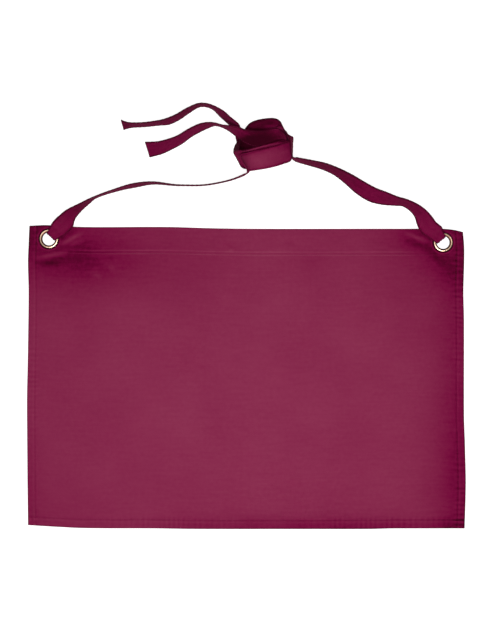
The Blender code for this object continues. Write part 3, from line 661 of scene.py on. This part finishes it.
# The ties: the panel's own twill folded into 30 mm tape and sewn along both edges. Each comes up
# through its eyelet and over the waist edge, runs on edge to the coil, and ends in a free end.
TIE_WIDTH, GATHERED = 0.0300, 0.0150
RIM_TOP = RIM_BOTTOM + RIM_RISE
COIL_WIDTH, COIL_FROM_MIDDLE, COIL_ABOVE_WAIST = 0.0960, 0.0273, 0.1313
COIL_SLACK, COIL_SLIP = 0.0009, 0.0035
ENTRY_STATION, JOIN_STATION, LEFT_LAST_STATION, RIGHT_LAST_STATION = 3, 5, 4, 15
LEFT_COIL_CORNER, RIGHT_COIL_CORNER = (-0.217, -0.408), (0.500, -0.183)
# Runs from eyelet to coil: share of the way, bow to its left as a share of its length, lean of the tape
# in degrees (90 on edge, flat at 0 and 180), and lift off the board in tape thicknesses.
LEFT_RUN = [
    # way,   bow,    lean, lift
    (0.080, 0.041, 4.0, 4.6),
    (0.104, 0.053, 21.0, 4.2),
    (0.135, 0.075, 50.0, 3.0),
    (0.187, 0.0935, 69.5, 1.3),
    (0.239, 0.1085, 80.0, 0.4),
    (0.273, 0.115, 86.0, 0.1),
    (0.364, 0.117, 84.0, 0.1),
    (0.466, 0.109, 79.0, 0.1),
    (0.549, 0.092, 84.0, 0.1),
    (0.667, 0.041, 89.0, 0.1),
    (0.788, 0.003, 89.5, 0.1),
    (0.888, -0.010, 89.5, 0.1),
    (0.962, -0.009, 88.0, 0.1),
]
RIGHT_RUN = [
    # way,   bow,     lean,  lift
    (0.113, -0.033, 178.0, 4.6),
    (0.159, -0.057, 153.0, 3.8),
    (0.200, -0.079, 132.0, 2.2),
    (0.248, -0.090, 120.0, 1.1),
    (0.308, -0.090, 113.0, 0.3),
    (0.354, -0.0745, 118.0, 0.1),
    (0.424, -0.0540, 134.0, 0.1),
    (0.496, -0.0395, 142.0, 0.1),
    (0.575, -0.040, 138.0, 0.1),
    (0.662, -0.050, 125.0, 0.1),
    (0.742, -0.052, 114.0, 0.1),
    (0.818, -0.044, 110.0, 0.1),
    (0.888, -0.0245, 106.0, 0.1),
    (0.951, -0.0065, 102.5, 0.1),
]
# One turn of the coil: the low and the high edge from its middle, as shares of its width, and how far
# the high edge rises, as a share of the tape's width. The other tables of the coil are made alike.
COIL_TURN = [
    # low_x, low_y,  high_x, high_y, rise
    (-0.200, -0.392, -0.235, -0.080, 0.28),
    (0.083, -0.352, 0.020, -0.010, 0.27),
    (0.335, -0.290, 0.290, 0.068, 0.34),
    (0.485, -0.225, 0.452, 0.095, 0.75),
    (0.475, 0.030, 0.435, 0.200, 0.90),
    (0.380, 0.170, 0.360, 0.280, 0.92),
    (0.275, 0.195, 0.262, 0.450, 0.62),
    (0.050, 0.212, 0.060, 0.478, 0.53),
    (-0.200, 0.180, -0.215, 0.405, 0.62),
    (-0.424, 0.114, -0.372, 0.204, 0.38),
    (-0.520, -0.070, -0.427, -0.045, 0.85),
    (-0.450, -0.233, -0.397, -0.085, 0.88),
    (-0.342, -0.380, -0.335, -0.100, 0.60),
]
RIGHT_ENTRY = [
    # x,     y,     lean
    (0.552, -0.214, 100.0),
    (0.504, -0.198, 94.0),
    (0.482, -0.146, 86.0),
    (0.476, -0.060, 83.0),
    (0.474, 0.060, 81.0),
    (0.463, 0.166, 77.0),
]
LEFT_ENTRY = [
    # low_x, low_y,  high_x, high_y, rise
    (-0.240, -0.424, -0.262, -0.412, 0.98),
    (-0.222, -0.402, -0.388, -0.165, 0.78),
]
LEFT_TURN = [
    # low_x, low_y, high_x, high_y, rise, lift
    (0.402, 0.100, 0.374, 0.256, 0.85, 0.1),
    (0.288, 0.115, 0.266, 0.332, 0.68, 0.2),
]
RIGHT_TURN = [
    # low_x, low_y,  high_x, high_y, rise, lift
    (0.405, -0.130, 0.380, 0.128, 0.45, 0.4),
    (0.392, 0.034, 0.362, 0.207, 0.80, 0.2),
    (0.278, 0.076, 0.252, 0.280, 0.74, 0.2),
]
HOLLOW = [
    # low_x, low_y, high_x, high_y, rise, lift
    (0.070, 0.022, 0.050, 0.284, 0.52, 0.4),
    (-0.130, 0.005, -0.150, 0.277, 0.50, 2.5),
    (-0.290, 0.055, -0.320, 0.295, 0.60, 9.5),
]
LEFT_HOLLOW = [
    # low_x, low_y,  high_x, high_y, rise, lift
    (0.200, -0.020, 0.160, 0.260, 0.35, 0.3),
    (0.020, -0.110, 0.000, 0.190, 0.12, 0.2),
    (-0.200, -0.135, -0.200, 0.175, 0.10, 0.2),
    (-0.360, -0.120, -0.345, 0.195, 0.15, 0.8),
    (-0.425, 0.000, -0.380, 0.270, 0.30, 4.5),
]
UPPER_END = [
    # x,     y,     lean,  lift
    (-0.440, 0.300, 114.0, 13.0),
    (-0.583, 0.445, 109.0, 8.5),
    (-0.683, 0.540, 109.0, 3.5),
    (-0.817, 0.640, 100.0, 0.3),
    (-0.950, 0.690, 98.0, 0.1),
    (-1.083, 0.687, 99.0, 0.1),
    (-1.250, 0.600, 104.0, 0.1),
    (-1.417, 0.496, 107.0, 0.1),
    (-1.583, 0.422, 108.0, 0.1),
    (-1.717, 0.396, 103.0, 0.1),
    (-1.950, 0.369, 101.0, 0.1),
    (-2.183, 0.356, 102.0, 0.1),
    (-2.283, 0.355, 109.0, 0.1),
    (-2.348, 0.362, 119.0, 0.1),
]
LOWER_END = [
    # x,     y,     lean,  lift
    (-0.425, 0.235, 119.0, 14.0),
    (-0.567, 0.300, 104.0, 9.0),
    (-0.683, 0.338, 95.0, 4.0),
    (-0.800, 0.368, 96.0, 1.0),
    (-0.917, 0.356, 105.0, 0.1),
    (-1.050, 0.316, 112.0, 0.1),
    (-1.217, 0.230, 114.0, 0.1),
    (-1.383, 0.119, 118.0, 0.1),
    (-1.550, 0.043, 124.0, 0.1),
    (-1.717, -0.018, 132.5, 0.1),
    (-1.850, -0.040, 140.0, 0.1),
    (-1.933, -0.048, 146.5, 0.1),
]
# Across the tape: distance from its edge, and half its thickness there, in tape thicknesses.
TAPE_SECTION = [
    # from_edge, half_thick
    (0.00000, 0.10),
    (0.00012, 0.30),
    (0.00040, 0.44),
    (0.00090, 0.50),
    (0.00150, 0.49),
    (0.00205, 0.36),
    (0.00240, 0.30),
    (0.00275, 0.36),
    (0.00330, 0.46),
    (0.00480, 0.50),
    (0.00750, 0.47),
    (0.01100, 0.45),
    (0.01500, 0.45),
]
# Where painted light makes the tape lighter (+) or painted shade of the coil makes it darker (-), in metres.
TIE_TONES = [
    # x,     y,     half_x, half_y, change
    (0.020, 0.349, 0.026, 0.0150, 0.52),
    (0.052, 0.360, 0.020, 0.0120, 0.20),
    (0.028, 0.408, 0.036, 0.0150, -0.16),
    (-0.300, 0.245, 0.030, 0.030, 0.16),
    (0.300, 0.245, 0.030, 0.030, 0.10),
    (0.048, 0.401, 0.015, 0.0045, 0.45),
]
# The top edge of the coil's front band, in metres: from its left end to its right end.
BAND_TOP = [(-0.0098, 0.3610), (0.0597, 0.3766)]
# The shade in the hollow behind that band: x, distance behind the band, and half its reach in both.
HOLLOW_SHADE = (0.010, 0.0130, 0.034, 0.0120)
# Where the tape's edges aren't painted dark as shade: x, y, half_x, half_y.
UNSHADED_EDGES = (0.020, 0.352, 0.034, 0.022)
# The painted highlight on that band's edge and the painted dark line of shade below it: distance behind it,
# and half the width.
EDGE_HIGHLIGHT, DARK_LINE = (0.0030, 0.0015), (-0.0003, 0.0009)
SEWN_FROM_EDGE, SEWN_HALF = 0.0024, 0.0007
# The tape's ripples along its edges, its slow slack waves, and the pleats where it is gathered.
RIPPLE_RISE, RIPPLE_PITCH = 0.00016, 0.0074
SLACK_RISE, SLACK_PITCH = 0.00014, 0.047
PLEAT_RISE, PLEATS = 0.00042, 3.5
TAPE_STEP, TAPE_SAMPLES, SLANT_REACH = 0.0022, 6000, 0.006


def lean_edges(places, leans, lifts):
    """Low and high edge of the tape along plan places, tilted by the lean to the left of its way."""
    ways = unit(np.gradient(places, axis=0))
    left = np.stack([-ways[:, 1], ways[:, 0]], axis=-1)
    tilt = np.radians(leans)[:, None]
    plan = left * np.cos(tilt) * TIE_WIDTH / 2
    bottom = TIE / 2 * np.abs(np.cos(tilt)) + lifts[:, None] * TIE
    return (np.concatenate([places - plan, bottom], axis=-1),
            np.concatenate([places + plan, bottom + TIE_WIDTH * np.sin(tilt)], axis=-1))


def leg_edges(centre, angle, inner_place, high_side):
    """The tape from its sewn inner end, under the panel, up through the hole and over the rim."""
    way = heading(angle)
    left = high_side * np.array([-way[1], way[0], 0.0])
    on_panel = EYELET_LIFT + HEM_CLOTH + GAP + TIE / 2
    over_rim = RIM_TOP + GAP + TIE / 2
    under = TIE / 2
    stations = [
        (1.95 * hole, under, 0.95 * TIE_WIDTH),
        (1.35 * hole, under, 0.62 * TIE_WIDTH),
        (0.86 * hole, under, 0.76 * GATHERED),
        (0.50 * hole, LIP_BOTTOM - 0.2 * TIE, 0.76 * GATHERED),
        (0.44 * hole, RIM_BOTTOM - TIE, 0.90 * GATHERED),
        (0.46 * hole, RIM_TOP + 0.3 * TIE, 0.58 * TIE_WIDTH),
        (0.72 * hole, over_rim + 0.9 * TIE, 0.65 * TIE_WIDTH),
        (1.15 * hole, over_rim + 0.3 * TIE, 0.72 * TIE_WIDTH),
        (1.55 * hole, over_rim, 0.82 * TIE_WIDTH),
        (2.05 * hole, on_panel + 0.45 * TIE, 0.95 * TIE_WIDTH),
    ]
    middles = [[*inner_place, under]] + [[*(centre + way * out), height] for out, height, width in stations]
    widths = [0.95 * TIE_WIDTH] + [width for out, height, width in stations]
    middles, half = np.array(middles), left * np.array(widths)[:, None] / 2
    return middles - half, middles + half


def run_places(start, end, table):
    """Plan places of a run: share of the way from start to end, and bow to the left of it."""
    table = np.array(table)
    straight = end - start
    return start + table[:, :1] * straight + table[:, 1:2] * np.array([-straight[1], straight[0]])


coil_middle = np.array([COIL_FROM_MIDDLE, PANEL_DEPTH / 2 + COIL_ABOVE_WAIST])


def table_edges(table):
    """Low and high edges from rows of plan shares and rise, the low edge on the board."""
    table = np.array(table)
    low = np.concatenate([coil_middle + COIL_WIDTH * table[:, 0:2], np.zeros((len(table), 1))], axis=-1)
    high = np.concatenate([coil_middle + COIL_WIDTH * table[:, 2:4], TIE_WIDTH * table[:, 4:5]], axis=-1)
    return low, high


def outward(low, high, ends_meet):
    """Unit normals of the wall between its edges, out of the coil."""
    middle = (low + high) / 2
    if ends_meet:
        along = np.roll(middle, -1, axis=0) - np.roll(middle, 1, axis=0)
    else:
        along = np.gradient(middle, axis=0)
    return unit(np.cross(along, high - low))


def coil_edges(first, last, layer):
    """Both edges from station first to last of the coil, each turn wound inside the one before."""
    low, high = table_edges(COIL_TURN)
    normals = outward(low, high, True)
    count, pitch = len(COIL_TURN), TIE + COIL_SLACK
    station = np.arange(first, last + 1)
    depth = pitch * (layer + 2 * (station - ENTRY_STATION) / count)
    deepest = pitch * 2 * (RIGHT_LAST_STATION - ENTRY_STATION) / count
    row = station % count
    facing_up = np.maximum(0.0, normals[row, 2])
    shift = -normals[row] * depth[:, None]
    shift[:, 2] += facing_up * deepest + TIE / 2 + GAP
    slip = COIL_SLIP * facing_up * (depth / pitch - 1)
    shift += unit(high - low)[row] * slip[:, None]
    return low[row] + shift, high[row] + shift


def hollow_edges(table, layer):
    """Both edges inside the hollow, a tie of the second layer laid on the first."""
    low, high = table_edges(table)
    lifts = np.array(table)[:, 5] * TIE + TIE / 2
    low[:, 2] += lifts
    high[:, 2] += lifts
    shift = -outward(low, high, False) * layer * (TIE + COIL_SLACK)
    return low + shift, high + shift


def end_edges(table):
    """Both edges of a free end."""
    table = np.array(table)
    return lean_edges(coil_middle + COIL_WIDTH * table[:, 0:2], table[:, 2], table[:, 3])


def tape_frame(pieces, step):
    """Both edges of the tape, and its distance along, at even steps through all its stations."""
    low = np.concatenate([part[0] for part in pieces])
    high = np.concatenate([part[1] for part in pieces])
    chords = np.linalg.norm(np.diff((low + high) / 2, axis=0), axis=-1)
    stops = np.concatenate([[0.0], np.cumsum(np.sqrt(chords))])
    fine = np.linspace(0, stops[-1], TAPE_SAMPLES)
    middle = (flow(stops, low, fine) + flow(stops, high, fine)) / 2
    run = np.concatenate([[0.0], np.cumsum(np.linalg.norm(np.diff(middle, axis=0), axis=-1))])
    along = np.linspace(0, run[-1], int(run[-1] / step) + 1)
    where = np.interp(along, run, fine)
    return flow(stops, low, where), flow(stops, high, where), along


def tape_points(low, high, along, share, lift, seed):
    """Points on the tape: across by share, off its middle by lift, with small slack ripples."""
    middle = low[:, None] * (1 - share[None, :, None]) + high[:, None] * share[None, :, None]
    normal = unit(np.cross(np.gradient(middle, axis=0), (high - low)[:, None] + 0 * middle))
    rng = np.random.default_rng(seed)
    phase = rng.uniform(0, 2 * math.pi, 4)
    width = np.linalg.norm(high - low, axis=-1)[:, None]
    edge = np.abs(2 * share - 1)[None, :]
    run = along[:, None]
    ripple = RIPPLE_RISE * edge ** 4 * np.sin(2 * math.pi * run / RIPPLE_PITCH
                                              + 1.6 * np.sin(37 * run + phase[0])
                                              + 2.5 * (share[None, :] > 0.5))
    slack = (SLACK_RISE * np.sin(2 * math.pi * run / SLACK_PITCH + phase[1])
             * np.sin(2 * math.pi * share[None, :] + phase[2]))
    gather = np.clip((0.92 * TIE_WIDTH - width) / (0.4 * TIE_WIDTH), 0.0, 1.0)
    pleats = PLEAT_RISE * gather * np.cos(2 * math.pi * PLEATS * share[None, :] + phase[3])
    return middle + normal * (lift[None, :] + ripple + slack + pleats)[..., None], normal


def coil_shade(x, y):
    """Painted shade in the coil's hollow behind the front band, with a painted highlight on the upper layer's
    edge.
    """
    (from_x, from_y), (to_x, to_y) = BAND_TOP
    slope = (to_y - from_y) / (to_x - from_x)
    behind = y - from_y - slope * (x - from_x)
    ends = soft_step(np.abs(x - (from_x + to_x) / 2 + 0.003), 0.031, 0.0024)
    hollow_x, hollow_behind, half_x, half_behind = HOLLOW_SHADE
    hollow = np.exp(-((x - hollow_x) / half_x) ** 2 - ((behind - hollow_behind) / half_behind) ** 2)
    hollow *= soft_step(-behind, -0.0052, 0.0006)
    edge_highlight, line = (np.exp(-((behind - place) / half) ** 2) * ends
                         for place, half in (EDGE_HIGHLIGHT, DARK_LINE))
    return -0.72 * hollow + 0.46 * edge_highlight - 0.34 * line


def make_tie(name, pieces, node, seed, slant):
    """One tape: a flat tube with rolled, sewn edges, carried along its two edge lines."""
    low, high, along = tape_frame(pieces, TAPE_STEP)
    section = np.array(TAPE_SECTION)
    half_share = section[:, 0] / TIE_WIDTH
    share = np.concatenate([half_share, 1 - half_share[-2::-1]])
    lift = np.concatenate([section[:, 1], section[-2::-1, 1]]) * TIE
    near_end = np.exp(-(along[-1] - along) / SLANT_REACH)[:, None]
    slanted = near_end * slant * unit(np.gradient((low + high) / 2, axis=0))
    low, high = low - slanted, high + slanted
    over, normal = tape_points(low, high, along, share, lift, seed)
    back, normal = tape_points(low, high, along, share, -lift, seed)
    loop = np.concatenate([over, back[:, ::-1]], axis=1)
    loop[..., 2] = np.maximum(loop[..., 2], 0.00005)
    rows, columns = loop.shape[:2]
    index = np.arange(rows * columns).reshape(rows, columns)
    beside = np.roll(index, -1, axis=1)
    faces = np.stack([index[:-1], index[1:], beside[1:], beside[:-1]], axis=-1).reshape(-1, 4)
    half = columns // 2
    ends = []
    for row, flip in ((0, False), (rows - 1, True)):
        near, far = index[row, :half], index[row, ::-1][:half]
        cap = np.stack([near[:-1], near[1:], far[1:], far[:-1]], axis=-1)
        ends.append(cap[:, ::-1] if flip else cap)
    faces = np.concatenate([faces] + ends)
    across = np.concatenate([share, share[::-1]]) * TIE_WIDTH
    flat = np.stack(np.broadcast_arrays(along[:, None], across[None, :]), axis=-1).reshape(-1, 2)
    from_edge = np.minimum(across, TIE_WIDTH - across)
    sewn = np.exp(-((from_edge - SEWN_FROM_EDGE) / SEWN_HALF) ** 2)
    x, y = loop[..., 0], loop[..., 1]
    unshaded_x, unshaded_y, half_x, half_y = UNSHADED_EDGES
    unshaded = np.exp(-((x - unshaded_x) / half_x) ** 2 - ((y - unshaded_y) / half_y) ** 2)
    # The tape's edges are painted dark as shade, except round the coil's front band, and the coil's painted
    # shade is added.
    wear_and_painted_light = (0.20 * (unshaded - 1) * np.exp(-((from_edge - 0.0006) / 0.0014) ** 2)
            - 0.26 * sewn + 0.11 + 0.05 * np.sin(9.0 * along[:, None] + seed) + coil_shade(x, y))
    for spot_x, spot_y, half_x, half_y, change in TIE_TONES:
        wear_and_painted_light = wear_and_painted_light + change * np.exp(-((x - spot_x) / half_x) ** 2 - ((y - spot_y) / half_y) ** 2)
    tie = piece(name, loop.reshape(-1, 3), faces, tie_twill, flat, wear_and_painted_light.ravel())
    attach(tie, "root")
    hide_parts(node)
    low, high, along = tape_frame(pieces, STITCH_PITCH)
    sewn_share = np.array([SEWN_FROM_EDGE, TIE_WIDTH - SEWN_FROM_EDGE]) / TIE_WIDTH
    rows_of_thread = []
    for face in (1, -1):
        points, normal = tape_points(low, high, along, sewn_share, face * 0.30 * TIE * np.ones(2), seed)
        way = unit(np.diff(points, axis=0))
        middles = (points[1:] + points[:-1]) / 2
        up = face * (normal[1:] + normal[:-1]) / 2
        up = unit(up - way * np.sum(up * way, axis=-1, keepdims=True))
        rows_of_thread.append([part.reshape(-1, 3) for part in (middles, way, up)])
    middles, way, up = (np.concatenate([row[i] for row in rows_of_thread]) for i in range(3))
    sewing = stitches(name + "_sewing", middles, way, up, np.full(len(middles), 0.12), thread)
    return tie


tie_twill = twill("burgundy_tape", SEAM_SHADE, DEEP_DYE, PLAIN_DYE, SHEEN_LIT_DYE, 0.0008)
start, end = eyelet_place(-1), coil_middle + COIL_WIDTH * np.array(LEFT_COIL_CORNER)
places, run = run_places(start, end, LEFT_RUN), np.array(LEFT_RUN)
low, high = table_edges(LEFT_ENTRY)
entry_lift = np.array([0.1, 1.2])[:, None] * TIE * np.array([0, 0, 1])
make_tie("left_tie", [
    leg_edges(start, LEFT_LEG_HEADING, places[0] * 0.8 + places[1] * 0.2, 1),
    lean_edges(places, run[:, 2], run[:, 3]),
    (low + entry_lift, high + entry_lift),
    coil_edges(0, LEFT_LAST_STATION, 1.0),
    hollow_edges(LEFT_TURN, 0.0),
    hollow_edges(LEFT_HOLLOW, 0.0),
    end_edges(UPPER_END),
], "tie_left", 3, 0.0026)

start, end = eyelet_place(1), coil_middle + COIL_WIDTH * np.array(RIGHT_COIL_CORNER)
places, run, entry = run_places(start, end, RIGHT_RUN), np.array(RIGHT_RUN), np.array(RIGHT_ENTRY)
make_tie("right_tie", [
    leg_edges(start, RIGHT_LEG_HEADING, places[0] * 0.8 + places[1] * 0.2, -1),
    lean_edges(np.concatenate([places, coil_middle + COIL_WIDTH * entry[:, :2]]),
               np.concatenate([run[:, 2], entry[:, 2]]), np.concatenate([run[:, 3], 0 * entry[:, 2] + 0.1])),
    coil_edges(JOIN_STATION, RIGHT_LAST_STATION, 0.0),
    hollow_edges(RIGHT_TURN, 0.0),
    hollow_edges(HOLLOW, 1.0),
    end_edges(LOWER_END),
], "tie_right", 8, 0.0024)
